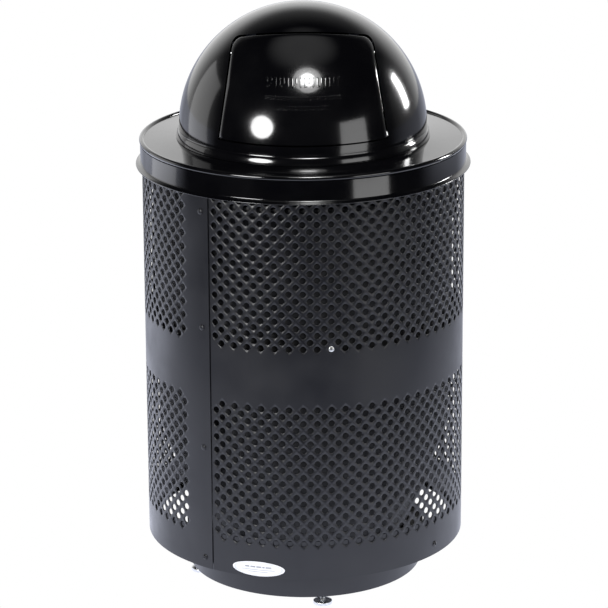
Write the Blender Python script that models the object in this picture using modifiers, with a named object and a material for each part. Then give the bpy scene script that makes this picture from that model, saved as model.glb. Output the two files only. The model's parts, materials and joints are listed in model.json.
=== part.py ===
"""Outdoor litter bin: a perforated steel drum on a plinth, a lift-off lid with a self-closing dome door,
and a plastic liner inside. Metres, +Z up. The door faces -Y. The origin is on the floor under the axis."""

import math

import bmesh
import bpy
from mathutils import Matrix

# --- driving dimensions ---------------------------------------------------------------------------
GAP = 0.0003  # between pieces that touch
STEPS = 48  # segments round every large turned piece

SHELL_R = 0.2855  # outside of the drum
SHELL_T = 0.0012
SHELL_BOTTOM = 0.0833
SHELL_TOP = 0.8051
LAP_EDGE = math.radians(-34.85)  # azimuth of the visible edge of the lap seam, 0 at the front
LAP_SPAN = math.radians(12.0)
LAP_T = 0.0008

RIM_RING_HEIGHT = 0.024
RIM_RING_T = 0.0028

PAN_T = 0.0020
PAN_FLOOR = 0.0893  # underside of the pan's floor
PAN_CORNER = 0.004
PAN_WINDOW_INNER_R = 0.216  # four windows let water and light through outside the plinth
PAN_WINDOW_OUTER_R = 0.275
PAN_SPOKE_HALF = math.radians(4.5)
PAN_FLANGE_TOP = 0.1533
ANCHOR_HOLE_R = 0.008

PLINTH_R = 0.2103
PLINTH_BOTTOM = 0.0185
PLINTH_T = 0.0020
FOOT_RING_INNER_R = 0.176
FOOT_RING_T = 0.0030
FOOT_RING_RISE = 0.0015  # from the plinth's bottom edge up to the ring

FOOT_CIRCLE_R = 0.1943
FOOT_AZIMUTHS = [math.radians(9.0 + 90.0 * k) for k in range(4)]
FOOT_GLIDE_R = 0.017
FOOT_GLIDE_H = 0.0085
FOOT_STEM_R = 0.0047
FOOT_STEM_TOP = 0.062
NUT_R = 0.0095
NUT_BORE_R = 0.0052
NUT_H = 0.008

FASTENER_AZIMUTH = math.radians(-38.1)
SEAM_RIVET_Z = [0.7367, 0.5286, 0.3087]
BASE_SCREW_Z = 0.103
BASE_SCREW_AZIMUTHS = [FASTENER_AZIMUTH] + [math.radians(53.9 + 89.0 * k) for k in range(3)]
BAND_RIVET_AZIMUTH = math.radians(9.4)
BAND_RIVET_Z = 0.5066
HEAD_R = 0.0052
HEAD_H = 0.0024
SHANK_R = 0.0022
RIVET_HOLE_R = 0.0027
TAIL_R = 0.0040
TAIL_H = 0.0015

LABEL_AZIMUTH = math.radians(-16.9)
LABEL_Z = 0.0992
LABEL_HALF_W = 0.048
LABEL_HALF_H = 0.0135
LABEL_T = 0.0005

LINER_BOTTOM = 0.0916
LINER_TOP = 0.754
LINER_BOTTOM_R = 0.190
LINER_SHOULDER = 0.280  # height where the steep foot of the tub meets its nearly straight body
LINER_SHOULDER_R = 0.258
LINER_TOP_R = 0.268
LINER_T = 0.0030
LINER_CORNER = 0.012
LINER_RIM = 0.0080  # how far the rolled rim stands out
LINER_RIM_H = 0.0160
LINER_EDGE = 0.0020

LID_TOP = 0.8114  # upper face of the plate where it meets the hem
LID_CROWN = 0.003  # how much higher the plate is at the dome, so that rain runs off
LID_T = 0.0012
HEM_RING_R = 0.2853  # centre line of the rolled outer hem
HEM_R = 0.0045
HEM_Z = 0.8101
SKIRT_R = 0.2884
SKIRT_T = 0.0010
SKIRT_TOP = 0.8053
SKIRT_BOTTOM = 0.7721
LIP_R = 0.2965
LIP_Z = 0.7671

DOME_R = 0.2192
DOME_T = 0.0012
DOME_Z = 0.8317  # height of the sphere's centre
DOME_BEAD_R = 0.2245
DOME_BEAD_TOP = 0.8285
DOME_BEAD_BOTTOM = LID_TOP + LID_CROWN + GAP
COLLAR_TOP = 0.8262

DOOR_GAP = 0.0025
DOOR_BOTTOM = 0.070 * DOME_R  # heights above the sphere's centre
DOOR_TOP = 0.873 * DOME_R
DOOR_TOP_DROP = 0.239 / DOME_R  # the top edge falls by this times x squared
DOOR_HALF_BOTTOM = 0.670 * DOME_R
DOOR_HALF_TOP = 0.5585 * DOME_R
DOOR_SHOULDER = 0.797 * DOME_R
DOOR_BOTTOM_CORNER = 0.012 * DOME_R
DOOR_TOP_CORNER = 0.11 * DOME_R

HINGE_ANGLE = math.radians(31.0)  # from straight up towards the front
HINGE_REACH = 0.1753  # from the sphere's centre to the rod
HINGE_Y = -HINGE_REACH * math.sin(HINGE_ANGLE)
HINGE_Z = DOME_Z + HINGE_REACH * math.cos(HINGE_ANGLE)
ROD_R = 0.0030
ROD_HALF = 0.1240
ROD_HOLE_R = 0.0033
EAR_X = 0.1130
EAR_T = 0.0020
EAR_R = 0.0070
NECK_ANGLE = math.radians(33.0)
NECK_HALF_W = 0.006
NECK_LENGTH = 0.014
BRACKET_X = 0.1205
BRACKET_T = 0.0020
BRACKET_EYE_R = 0.0050
SPRING_X = 0.0960
SPRING_COIL_R = 0.0060
SPRING_WIRE_R = 0.0009
SPRING_TURNS = 4
SPRING_PITCH = 0.0026
SPRING_LONG_LEG = 0.022
SPRING_SHORT_LEG = 0.005
STOP_X = 0.0890
STOP_HALF_W = 0.0090
STOP_T = 0.0012
STOP_BELOW = 0.0044  # how far the stop reaches below and above the top edge of the door
STOP_ABOVE = 0.0087
BRACKET_FOOT_W = 0.0170
BRACKET_FOOT_T = 0.0012
BRACKET_BACK_Y = -0.022
BRACKET_FRONT_Y = -0.064
BRACKET_WEB_W = 0.0126
BRACKET_WEB_START = math.radians(7.0)
BRACKET_WEB_END = math.radians(31.0)

STEEL_BLACK = ("black_powder_coat", (0.012, 0.012, 0.013), 0.45, 0.0)
GLOSS_BLACK = ("black_gloss_coat", (0.010, 0.010, 0.011), 0.15, 0.0)
PLATED = ("zinc_plated_steel", (0.62, 0.62, 0.60), 0.35, 1.0)
SPRING_STEEL = ("spring_steel", (0.30, 0.30, 0.31), 0.30, 1.0)
LINER_PLASTIC = ("black_plastic", (0.018, 0.018, 0.019), 0.60, 0.0)
LABEL_WHITE = ("white_label", (0.85, 0.85, 0.84), 0.40, 0.0)


# --- helpers --------------------------------------------------------------------------------------
def clear_scene():
    for thing in list(bpy.data.objects):
        bpy.data.objects.remove(thing, do_unlink=True)


def collection(name):
    made = bpy.data.collections.new(name)
    bpy.context.scene.collection.children.link(made)
    return made


def material(look):
    name, color, roughness, metallic = look
    made = bpy.data.materials.new(name)
    made.use_nodes = True
    shader = made.node_tree.nodes["Principled BSDF"]
    shader.inputs["Base Color"].default_value = (*color, 1.0)
    shader.inputs["Roughness"].default_value = roughness
    shader.inputs["Metallic"].default_value = metallic
    return made


def new_object(name, data, look, cutter=False):
    thing = bpy.data.objects.new(name, data)
    (CUTTERS if cutter else PARTS).objects.link(thing)
    if cutter:
        thing.hide_render = True
        thing.display_type = "WIRE"
    else:
        data.materials.append(material(look))
    return thing


def arc(center_x, center_z, radius, start, end, count):
    """Points on a circle between two angles in degrees, both ends included."""
    angles = [math.radians(start + (end - start) * i / count) for i in range(count + 1)]
    return [(center_x + radius * math.cos(a), center_z + radius * math.sin(a)) for a in angles]


def turned(name, profile, look, closed=True, steps=STEPS, cutter=False):
    """A profile of (radius, height) points turned about Z. It runs down its outer side, top to bottom."""
    mesh = bpy.data.meshes.new(name)
    count = len(profile)
    edges = [(i, i + 1) for i in range(count - 1)]
    if closed:
        edges.append((count - 1, 0))
    mesh.from_pydata([(x, 0.0, z) for x, z in profile], edges, [])
    thing = new_object(name, mesh, look, cutter)
    screw = thing.modifiers.new("turn", "SCREW")
    screw.steps = steps
    screw.render_steps = steps
    screw.use_merge_vertices = True
    screw.merge_threshold = 0.00005
    screw.use_smooth_shade = True
    return thing


def prism(name, outlines, half_depth, look=None, cutter=True):
    """A flat outline in the XY plane, with any holes, extruded along Z by half_depth each way."""
    curve = bpy.data.curves.new(name, "CURVE")
    curve.dimensions = "2D"
    curve.fill_mode = "BOTH"
    curve.extrude = half_depth
    for outline in outlines:
        spline = curve.splines.new("POLY")
        spline.points.add(len(outline) - 1)
        for point, (x, y) in zip(spline.points, outline):
            point.co = (x, y, 0.0, 1.0)
        spline.use_cyclic_u = True
    return solid_from_curve(name, curve, look, cutter)


def solid_from_curve(name, curve, look, cutter=False):
    """The curve's evaluated solid as a mesh object, with its caps welded on."""
    draft = bpy.data.objects.new(name + "_draft", curve)
    bpy.context.scene.collection.objects.link(draft)
    graph = bpy.context.evaluated_depsgraph_get()
    mesh = bpy.data.meshes.new_from_object(draft.evaluated_get(graph))
    bpy.data.objects.remove(draft, do_unlink=True)
    shape = bmesh.new()
    shape.from_mesh(mesh)
    bmesh.ops.remove_doubles(shape, verts=shape.verts, dist=0.00001)
    bmesh.ops.recalc_face_normals(shape, faces=shape.faces)
    shape.to_mesh(mesh)
    shape.free()
    mesh.materials.clear()
    return new_object(name, mesh, look, cutter)


def cylinder(name, radius, depth, matrix, look=None, cutter=True, segments=16):
    mesh = bpy.data.meshes.new(name)
    shape = bmesh.new()
    bmesh.ops.create_cone(
        shape, cap_ends=True, segments=segments, radius1=radius, radius2=radius, depth=depth, matrix=matrix
    )
    shape.to_mesh(mesh)
    shape.free()
    return new_object(name, mesh, look, cutter)


def box(name, low, high, look=None, cutter=True):
    mesh = bpy.data.meshes.new(name)
    center = [(a + b) / 2 for a, b in zip(low, high)]
    size = [b - a for a, b in zip(low, high)]
    shape = bmesh.new()
    place = Matrix.Translation(center) @ Matrix.Diagonal((*size, 1.0))
    bmesh.ops.create_cube(shape, size=1.0, matrix=place)
    shape.to_mesh(mesh)
    shape.free()
    return new_object(name, mesh, look, cutter)


def combine(thing, other, operation):
    modifier = thing.modifiers.new(operation.lower() + "_" + other.name, "BOOLEAN")
    modifier.operation = operation
    modifier.object = other
    modifier.solver = "EXACT"


def radial(azimuth, radius, height):
    """A frame at a point on a cylinder about Z, with its own Z pointing outwards."""
    place = Matrix.Translation((radius * math.sin(azimuth), -radius * math.cos(azimuth), height))
    return place @ Matrix.Rotation(azimuth - math.pi / 2, 4, "Z") @ Matrix.Rotation(math.pi / 2, 4, "Y")


def across(x, y, z):
    """A frame at a point with its own Z along X."""
    return Matrix.Translation((x, y, z)) @ Matrix.Rotation(math.pi / 2, 4, "Y")


# --- drum and base --------------------------------------------------------------------------------
def shell_outline():
    """Outside of the drum: a circle whose wrapped-over end stands proud and eases back into it."""
    edge = LAP_EDGE % math.tau
    azimuths = sorted([math.tau * i / STEPS for i in range(STEPS)] + [edge])
    points = []
    for azimuth in azimuths:
        behind = (edge - azimuth) % math.tau
        proud = LAP_T * max(0.0, 1.0 - behind / LAP_SPAN)
        points.append((SHELL_R + proud, azimuth))
        if azimuth == edge:
            points.append((SHELL_R, azimuth))
    return [(radius * math.sin(azimuth), -radius * math.cos(azimuth)) for radius, azimuth in points]


def circle_outline(radius, count=STEPS):
    return [
        (radius * math.cos(math.tau * i / count), radius * math.sin(math.tau * i / count))
        for i in range(count)
    ]


def make_shell():
    inner = circle_outline(SHELL_R - SHELL_T)
    half = (SHELL_TOP - SHELL_BOTTOM) / 2
    shell = prism("shell", [shell_outline(), inner], half, STEEL_BLACK, cutter=False)
    shell.location.z = SHELL_BOTTOM + half
    for azimuth, height in fastener_places():
        hole = cylinder("rivet_hole", RIVET_HOLE_R, 0.020, radial(azimuth, SHELL_R, height), segments=12)
        combine(shell, hole, "DIFFERENCE")
    return shell


def fastener_places():
    places = [(FASTENER_AZIMUTH, height) for height in SEAM_RIVET_Z]
    places += [(azimuth, BASE_SCREW_Z) for azimuth in BASE_SCREW_AZIMUTHS]
    places.append((BAND_RIVET_AZIMUTH, BAND_RIVET_Z))
    return places


def make_rim_ring():
    outer = SHELL_R - SHELL_T - GAP
    inner = outer - RIM_RING_T
    low = SHELL_TOP - RIM_RING_HEIGHT
    turned("rim_ring", [(inner, SHELL_TOP), (outer, SHELL_TOP), (outer, low), (inner, low)], STEEL_BLACK)


def make_base_pan():
    outer = SHELL_R - SHELL_T - GAP
    inner = outer - PAN_T
    floor = PAN_FLOOR + PAN_T
    bend = inner - PAN_CORNER
    profile = [(ANCHOR_HOLE_R, floor), (bend, floor)]
    profile += arc(bend, floor + PAN_CORNER, PAN_CORNER, -90, 0, 2)[1:]
    profile += [(inner, PAN_FLANGE_TOP), (outer, PAN_FLANGE_TOP)]
    profile += arc(bend, floor + PAN_CORNER, PAN_CORNER + PAN_T, 0, -90, 2)
    profile.append((ANCHOR_HOLE_R, PAN_FLOOR))
    pan = turned("base_pan", profile, STEEL_BLACK)
    for azimuth in BASE_SCREW_AZIMUTHS:
        place = radial(azimuth, SHELL_R, BASE_SCREW_Z)
        combine(pan, cylinder("pan_hole", RIVET_HOLE_R, 0.020, place, segments=12), "DIFFERENCE")
    ends = BASE_SCREW_AZIMUTHS[1:] + [BASE_SCREW_AZIMUTHS[0] + math.tau]
    for start, end in zip(BASE_SCREW_AZIMUTHS, ends):
        window = prism("pan_window", [window_outline(start + PAN_SPOKE_HALF, end - PAN_SPOKE_HALF, 12)], 0.010)
        window.location.z = PAN_FLOOR
        combine(pan, window, "DIFFERENCE")


def window_outline(start, end, count):
    """Part of a flat ring seen from above, between two azimuths."""
    azimuths = [start + (end - start) * i / count for i in range(count + 1)]
    points = [(PAN_WINDOW_OUTER_R * math.sin(a), -PAN_WINDOW_OUTER_R * math.cos(a)) for a in azimuths]
    points += [(PAN_WINDOW_INNER_R * math.sin(a), -PAN_WINDOW_INNER_R * math.cos(a)) for a in reversed(azimuths)]
    return points


def make_plinth():
    """A rolled band under the pan, and the flat ring welded inside its foot that takes the feet."""
    top = PAN_FLOOR - GAP
    wall = PLINTH_R - PLINTH_T
    corner = 0.0008
    profile = [(wall, top), (PLINTH_R, top)]
    profile += [(PLINTH_R, PLINTH_BOTTOM + corner), (PLINTH_R - corner, PLINTH_BOTTOM)]
    profile.append((wall, PLINTH_BOTTOM))
    turned("plinth", profile, STEEL_BLACK)
    outer = wall - GAP
    low = PLINTH_BOTTOM + FOOT_RING_RISE
    high = low + FOOT_RING_T
    flat = [(FOOT_RING_INNER_R, high), (outer, high), (outer, low), (FOOT_RING_INNER_R, low)]
    ring = turned("foot_ring", flat, STEEL_BLACK)
    for azimuth in FOOT_AZIMUTHS:
        place = Matrix.Translation(foot_place(azimuth, low))
        combine(ring, cylinder("foot_hole", FOOT_STEM_R + 0.0010, 0.010, place), "DIFFERENCE")


def foot_place(azimuth, height):
    return (FOOT_CIRCLE_R * math.sin(azimuth), -FOOT_CIRCLE_R * math.cos(azimuth), height)


def make_feet():
    """Threaded glides: a flat pad that slides on the ground and a stem that screws through a weld nut."""
    edge = 0.0015
    profile = [(0.0, FOOT_STEM_TOP), (FOOT_STEM_R - 0.0008, FOOT_STEM_TOP)]
    profile += [(FOOT_STEM_R, FOOT_STEM_TOP - 0.0010), (FOOT_STEM_R, FOOT_GLIDE_H)]
    profile += [(FOOT_GLIDE_R - 0.004, FOOT_GLIDE_H), (FOOT_GLIDE_R, FOOT_GLIDE_H - 0.0025)]
    profile += [(FOOT_GLIDE_R, edge), (FOOT_GLIDE_R - edge, 0.0), (0.0, 0.0)]
    for number, azimuth in enumerate(FOOT_AZIMUTHS, start=1):
        foot = turned(f"levelling_foot_{number}", profile, PLATED, closed=False, steps=16)
        foot.location = foot_place(azimuth, 0.0)
        bore = circle_outline(NUT_BORE_R, 16)
        nut = prism(f"foot_nut_{number}", [circle_outline(NUT_R, 6), bore], NUT_H / 2, PLATED, False)
        nut.location = foot_place(azimuth, PLINTH_BOTTOM + FOOT_RING_RISE + FOOT_RING_T + GAP + NUT_H / 2)


def make_fastener(name, azimuth, height, seat, stack, look):
    """A button head outside, a shank through the sheets, and a spread tail inside."""
    tail = -stack - 2 * GAP
    profile = [(0.0, HEAD_H), (HEAD_R * 0.55, HEAD_H * 0.86), (HEAD_R * 0.88, HEAD_H * 0.5), (HEAD_R, GAP)]
    profile += [(SHANK_R, GAP), (SHANK_R, tail), (TAIL_R, tail), (TAIL_R * 0.8, tail - TAIL_H)]
    profile.append((0.0, tail - TAIL_H))
    rivet = turned(name, profile, look, closed=False, steps=12)
    rivet.matrix_world = radial(azimuth, seat, height)


def make_fasteners():
    lap = LAP_T * (1.0 - (LAP_EDGE - FASTENER_AZIMUTH) / LAP_SPAN)
    for name, height in zip(("top", "middle", "lower"), SEAM_RIVET_Z):
        seat = SHELL_R + lap
        make_fastener(f"seam_rivet_{name}", FASTENER_AZIMUTH, height, seat, SHELL_T + lap, STEEL_BLACK)
    for number, azimuth in enumerate(BASE_SCREW_AZIMUTHS, start=1):
        extra = lap if number == 1 else 0.0
        stack = SHELL_T + extra + GAP + PAN_T
        make_fastener(f"base_screw_{number}", azimuth, BASE_SCREW_Z, SHELL_R + extra, stack, PLATED)
    make_fastener("band_rivet", BAND_RIVET_AZIMUTH, BAND_RIVET_Z, SHELL_R, SHELL_T, PLATED)


def make_label():
    inner = SHELL_R + GAP
    outer = inner + LABEL_T
    low, high = LABEL_Z - 2 * LABEL_HALF_H, LABEL_Z + 2 * LABEL_HALF_H
    label = turned("label_plate", [(inner, high), (outer, high), (outer, low), (inner, low)], LABEL_WHITE)
    angles = [math.tau * i / 32 for i in range(32)]
    outline = [(LABEL_HALF_H * math.cos(a), LABEL_HALF_W * math.sin(a)) for a in angles]
    oval = prism("label_oval", [outline], 0.020)
    oval.matrix_world = radial(LABEL_AZIMUTH, SHELL_R, LABEL_Z)
    combine(label, oval, "INTERSECT")


def make_liner():
    """A tub with a steep foot, a nearly straight body, a round bottom edge and a rolled rim."""
    floor = LINER_BOTTOM + LINER_T
    foot_r = LINER_BOTTOM_R - LINER_T - LINER_CORNER
    rim, hook = LINER_TOP_R + LINER_RIM, LINER_TOP_R + LINER_RIM - LINER_T
    foot = LINER_TOP - LINER_RIM_H
    profile = [(0.0, floor), (foot_r, floor)]
    profile += arc(foot_r, floor + LINER_CORNER, LINER_CORNER, -90, 0, 2)[1:]
    profile += [(LINER_SHOULDER_R - LINER_T, LINER_SHOULDER), (LINER_TOP_R - LINER_T, LINER_TOP)]
    profile += [(rim - LINER_EDGE, LINER_TOP), (rim, LINER_TOP - LINER_EDGE), (rim, foot), (hook, foot)]
    profile += [(hook, LINER_TOP - LINER_T), (LINER_TOP_R, LINER_TOP - LINER_T)]
    profile.append((LINER_SHOULDER_R, LINER_SHOULDER))
    profile += arc(LINER_BOTTOM_R - LINER_CORNER, LINER_BOTTOM + LINER_CORNER, LINER_CORNER, 0, -90, 2)
    profile.append((0.0, LINER_BOTTOM))
    turned("liner", profile, LINER_PLASTIC, closed=False)


# --- lid ------------------------------------------------------------------------------------------
def make_lid_plate():
    """A flat ring with a rolled bead outside and an upturned collar that the dome sits over."""
    collar = DOME_R - DOME_T - 0.0004
    low = LID_TOP - LID_T
    lift = math.degrees(math.asin((LID_TOP - HEM_Z) / HEM_R))
    drop = math.degrees(math.asin((low - HEM_Z) / HEM_R))
    profile = [(collar - LID_T, COLLAR_TOP), (collar, COLLAR_TOP), (collar, LID_TOP + LID_CROWN)]
    profile += arc(HEM_RING_R, HEM_Z, HEM_R, 180 - lift, -180 - drop, 8)
    profile.append((collar - LID_T, low + LID_CROWN))
    turned("lid_plate", profile, GLOSS_BLACK)


def make_lid_skirt():
    """A band round the drum whose foot flares out into a narrow lip."""
    inner = SKIRT_R - SKIRT_T
    profile = [(inner, SKIRT_TOP), (SKIRT_R, SKIRT_TOP), (SKIRT_R, SKIRT_BOTTOM)]
    profile += [(SKIRT_R + 0.0020, LIP_Z + 0.0030), (LIP_R - 0.0015, LIP_Z + 0.0008), (LIP_R, LIP_Z)]
    profile += [(LIP_R - 0.0005, LIP_Z - 0.0012), (LIP_R - 0.0020, LIP_Z - 0.0008)]
    profile += [(SKIRT_R + 0.0012, LIP_Z + 0.0012), (inner, SKIRT_BOTTOM - 0.0005)]
    turned("lid_skirt", profile, GLOSS_BLACK)


def dome_arc(radius, count=12):
    """A quarter circle of the dome's section, from the pole down to the widest point."""
    return [(x, z) for x, z in arc(0.0, DOME_Z, radius, 90, 0, count)]


def door_outline(gap):
    """The door's outline seen from the front, as (x, height): its edges are moved in by gap."""
    top = DOME_Z + DOOR_TOP - gap
    shoulder_x = DOOR_HALF_TOP - gap
    shoulder_z = DOME_Z + DOOR_SHOULDER - gap
    half = DOOR_HALF_BOTTOM - gap
    low = DOME_Z + DOOR_BOTTOM + gap
    crown = [-0.6, -0.3, 0.0, 0.3, 0.6]
    corners = [(-half, low, DOOR_BOTTOM_CORNER), (-shoulder_x, shoulder_z, DOOR_TOP_CORNER)]
    corners += [(s * shoulder_x, top - DOOR_TOP_DROP * (s * shoulder_x) ** 2, 0.0) for s in crown]
    corners += [(shoulder_x, shoulder_z, DOOR_TOP_CORNER), (half, low, DOOR_BOTTOM_CORNER)]
    return rounded(corners, 6)


def rounded(corners, count):
    """A polygon from (x, z, radius) corners, each with its tip replaced by a tangent arc."""
    outline = []
    for i, (x, z, radius) in enumerate(corners):
        if radius == 0.0:
            outline.append((x, z))
            continue
        ends = []
        for other in (corners[i - 1], corners[(i + 1) % len(corners)]):
            length = math.hypot(other[0] - x, other[1] - z)
            ends.append(((other[0] - x) / length, (other[1] - z) / length))
        cosine = ends[0][0] * ends[1][0] + ends[0][1] * ends[1][1]
        half_angle = math.acos(cosine) / 2
        reach = radius / math.tan(half_angle)
        middle = (ends[0][0] + ends[1][0], ends[0][1] + ends[1][1])
        scale = radius / math.sin(half_angle) / math.hypot(*middle)
        center = (x + middle[0] * scale, z + middle[1] * scale)
        start = math.atan2(z + ends[0][1] * reach - center[1], x + ends[0][0] * reach - center[0])
        end = math.atan2(z + ends[1][1] * reach - center[1], x + ends[1][0] * reach - center[0])
        turn = (end - start + math.pi) % math.tau - math.pi
        for k in range(count + 1):
            angle = start + turn * k / count
            outline.append((center[0] + radius * math.cos(angle), center[1] + radius * math.sin(angle)))
    return outline


def door_prism(name, gap):
    """The door's outline pushed through the front half of the dome."""
    depth = 0.125
    cutter = prism(name, [door_outline(gap)], depth)
    cutter.rotation_euler.x = math.pi / 2
    cutter.location.y = -depth - 0.02
    return cutter


def make_dome():
    inner = DOME_R - DOME_T
    profile = dome_arc(DOME_R)
    profile += [(DOME_R, DOME_BEAD_TOP + 0.0012), (DOME_BEAD_R - 0.0018, DOME_BEAD_TOP)]
    profile += [(DOME_BEAD_R, DOME_BEAD_TOP - 0.0025), (DOME_BEAD_R, DOME_BEAD_BOTTOM + 0.0025)]
    profile += [(DOME_BEAD_R - 0.0018, DOME_BEAD_BOTTOM), (inner, DOME_BEAD_BOTTOM)]
    profile += reversed(dome_arc(inner))
    dome = turned("dome", profile, GLOSS_BLACK, closed=False)
    combine(dome, door_prism("door_opening", 0.0), "DIFFERENCE")


def sphere_skin(name, outer, inner, look):
    """The upper half of a thin ball, which a box or an outline then trims to a patch."""
    profile = dome_arc(outer)
    profile += reversed(dome_arc(inner))
    return turned(name, profile, look, closed=False)


def make_door():
    pivot = bpy.data.objects.new("door_hinge_axis", None)
    pivot.location = (0.0, HINGE_Y, HINGE_Z)
    PARTS.objects.link(pivot)
    door = sphere_skin("door", DOME_R, DOME_R - DOME_T, GLOSS_BLACK)
    door.parent = pivot
    door.location = -pivot.location
    combine(door, door_prism("door_edge", DOOR_GAP), "INTERSECT")
    wall = math.sqrt((DOME_R - DOME_T / 2) ** 2 - EAR_X**2)
    for side, name in ((-1, "left"), (1, "right")):
        ear = cylinder(f"ear_{name}", EAR_R, EAR_T, across(side * EAR_X, HINGE_Y, HINGE_Z), segments=20)
        combine(door, ear, "UNION")
        low, high = (-EAR_T / 2, -NECK_HALF_W, -NECK_LENGTH), (EAR_T / 2, NECK_HALF_W, 0.0)
        neck = box(f"neck_{name}", low, high)
        neck.rotation_euler.x = NECK_ANGLE
        neck.location = (side * EAR_X, -wall * math.sin(NECK_ANGLE), DOME_Z + wall * math.cos(NECK_ANGLE))
        combine(door, neck, "UNION")
    bore = cylinder("rod_bore", ROD_HOLE_R, 0.40, across(0.0, HINGE_Y, HINGE_Z))
    combine(door, bore, "DIFFERENCE")


def make_hinge():
    rod_place = across(0.0, HINGE_Y, HINGE_Z)
    rod = cylinder("hinge_rod", ROD_R, 2 * ROD_HALF, rod_place, PLATED, cutter=False)
    rod.data.shade_smooth()
    rod.data.set_sharp_from_angle(angle=math.radians(40))
    skin = DOME_R - DOME_T - GAP
    for side, name in ((-1, "left"), (1, "right")):
        make_bracket(side, name, skin)
        make_spring(side, name)
        stop = sphere_skin(f"door_stop_{name}", skin, skin - STOP_T, STEEL_BLACK)
        near, far = sorted((side * (STOP_X - STOP_HALF_W), side * (STOP_X + STOP_HALF_W)))
        edge = DOME_Z + DOOR_TOP - DOOR_TOP_DROP * STOP_X**2
        low, high = (near, -DOME_R, edge - STOP_BELOW), (far, 0.0, edge + STOP_ABOVE)
        combine(stop, box(f"stop_trim_{name}", low, high), "INTERSECT")


def make_bracket(side, name, skin):
    """A web with an eye for the rod, and a foot that lies against the inside of the dome."""
    foot = sphere_skin(f"hinge_bracket_{name}", skin, skin - BRACKET_FOOT_T, STEEL_BLACK)
    near, far = sorted((side * (BRACKET_X - BRACKET_T / 2), side * (BRACKET_X + BRACKET_FOOT_W)))
    low, high = (near, BRACKET_FRONT_Y, DOME_Z), (far, BRACKET_BACK_Y, DOME_Z + DOME_R)
    combine(foot, box(f"bracket_trim_{name}", low, high), "INTERSECT")
    rim = math.sqrt((skin - BRACKET_FOOT_T / 2) ** 2 - BRACKET_X**2) - GAP
    web = sector_outline(rim - BRACKET_WEB_W, rim, BRACKET_WEB_START, BRACKET_WEB_END, 6)
    plate = prism(f"bracket_web_{name}", [web], BRACKET_T / 2)
    plate.matrix_world = across(side * BRACKET_X, 0.0, DOME_Z)
    combine(foot, plate, "UNION")
    eye_place = across(side * BRACKET_X, HINGE_Y, HINGE_Z)
    eye = cylinder(f"bracket_eye_{name}", BRACKET_EYE_R, BRACKET_T, eye_place, segments=20)
    combine(foot, eye, "UNION")
    combine(foot, cylinder(f"bracket_bore_{name}", ROD_HOLE_R, 0.02, eye_place), "DIFFERENCE")


def sector_outline(inner, outer, start, end, count):
    """Part of a flat ring in the plane that across() stands upright, with angles from up to the front."""
    angles = [start + (end - start) * i / count for i in range(count + 1)]
    points = [(-outer * math.cos(a), -outer * math.sin(a)) for a in angles]
    points += [(-inner * math.cos(a), -inner * math.sin(a)) for a in reversed(angles)]
    return points


def make_spring(side, name):
    """A torsion spring round the rod: one leg runs up to the dome, the other ends beside the door."""
    per_turn = 10
    points = []
    for i in range(SPRING_TURNS * per_turn + 1):
        angle = math.tau * i / per_turn
        x = (i / per_turn - SPRING_TURNS / 2) * SPRING_PITCH
        points.append((x, SPRING_COIL_R * math.cos(angle), SPRING_COIL_R * math.sin(angle)))
    first, last = points[0], points[-1]
    points.insert(0, (first[0], first[1], first[2] + SPRING_LONG_LEG))
    points.append((last[0], last[1], last[2] - SPRING_SHORT_LEG))
    curve = bpy.data.curves.new(f"spring_{name}", "CURVE")
    curve.dimensions = "3D"
    curve.bevel_depth = SPRING_WIRE_R
    curve.bevel_resolution = 1
    curve.use_fill_caps = True
    spline = curve.splines.new("POLY")
    spline.points.add(len(points) - 1)
    for point, (x, y, z) in zip(spline.points, points):
        point.co = (side * (SPRING_X + x), HINGE_Y + y, HINGE_Z + z, 1.0)
    spring = solid_from_curve(f"door_spring_{name}", curve, SPRING_STEEL)
    spring.data.shade_smooth()


clear_scene()
PARTS = collection("litter_bin")
CUTTERS = collection("cutters")
make_shell()
make_rim_ring()
make_base_pan()
make_plinth()
make_feet()
make_fasteners()
make_label()
make_liner()
make_lid_plate()
make_lid_skirt()
make_dome()
make_door()
make_hinge()
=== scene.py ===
"""The looks of an outdoor litter bin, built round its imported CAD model. Metres, +Z up, the door faces -Y.
Azimuths are 0 at the front and grow towards +X."""

import json
import math

import bmesh
import bpy
from mathutils import Matrix, Vector


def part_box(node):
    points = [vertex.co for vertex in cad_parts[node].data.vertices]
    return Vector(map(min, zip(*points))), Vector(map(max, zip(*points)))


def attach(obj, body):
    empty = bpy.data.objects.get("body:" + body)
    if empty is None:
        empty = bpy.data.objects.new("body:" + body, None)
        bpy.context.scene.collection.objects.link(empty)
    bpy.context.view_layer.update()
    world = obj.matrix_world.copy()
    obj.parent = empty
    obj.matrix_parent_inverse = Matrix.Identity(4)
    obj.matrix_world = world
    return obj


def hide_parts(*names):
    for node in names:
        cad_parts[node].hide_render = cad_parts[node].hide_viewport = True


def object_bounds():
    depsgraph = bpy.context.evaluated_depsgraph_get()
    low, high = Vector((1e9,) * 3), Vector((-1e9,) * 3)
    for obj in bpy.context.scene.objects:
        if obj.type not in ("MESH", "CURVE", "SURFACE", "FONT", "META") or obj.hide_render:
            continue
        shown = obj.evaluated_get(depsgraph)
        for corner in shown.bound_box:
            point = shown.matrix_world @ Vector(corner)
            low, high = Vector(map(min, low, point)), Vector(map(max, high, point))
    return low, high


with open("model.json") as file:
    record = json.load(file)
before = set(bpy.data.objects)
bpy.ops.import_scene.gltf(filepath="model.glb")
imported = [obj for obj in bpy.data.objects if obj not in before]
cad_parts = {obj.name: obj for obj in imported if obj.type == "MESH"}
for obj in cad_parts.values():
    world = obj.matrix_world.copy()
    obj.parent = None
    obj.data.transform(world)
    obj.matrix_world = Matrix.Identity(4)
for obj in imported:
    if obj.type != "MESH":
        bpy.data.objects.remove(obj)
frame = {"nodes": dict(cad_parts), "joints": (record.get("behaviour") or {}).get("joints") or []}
CAD_LOW, CAD_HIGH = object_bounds()

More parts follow.
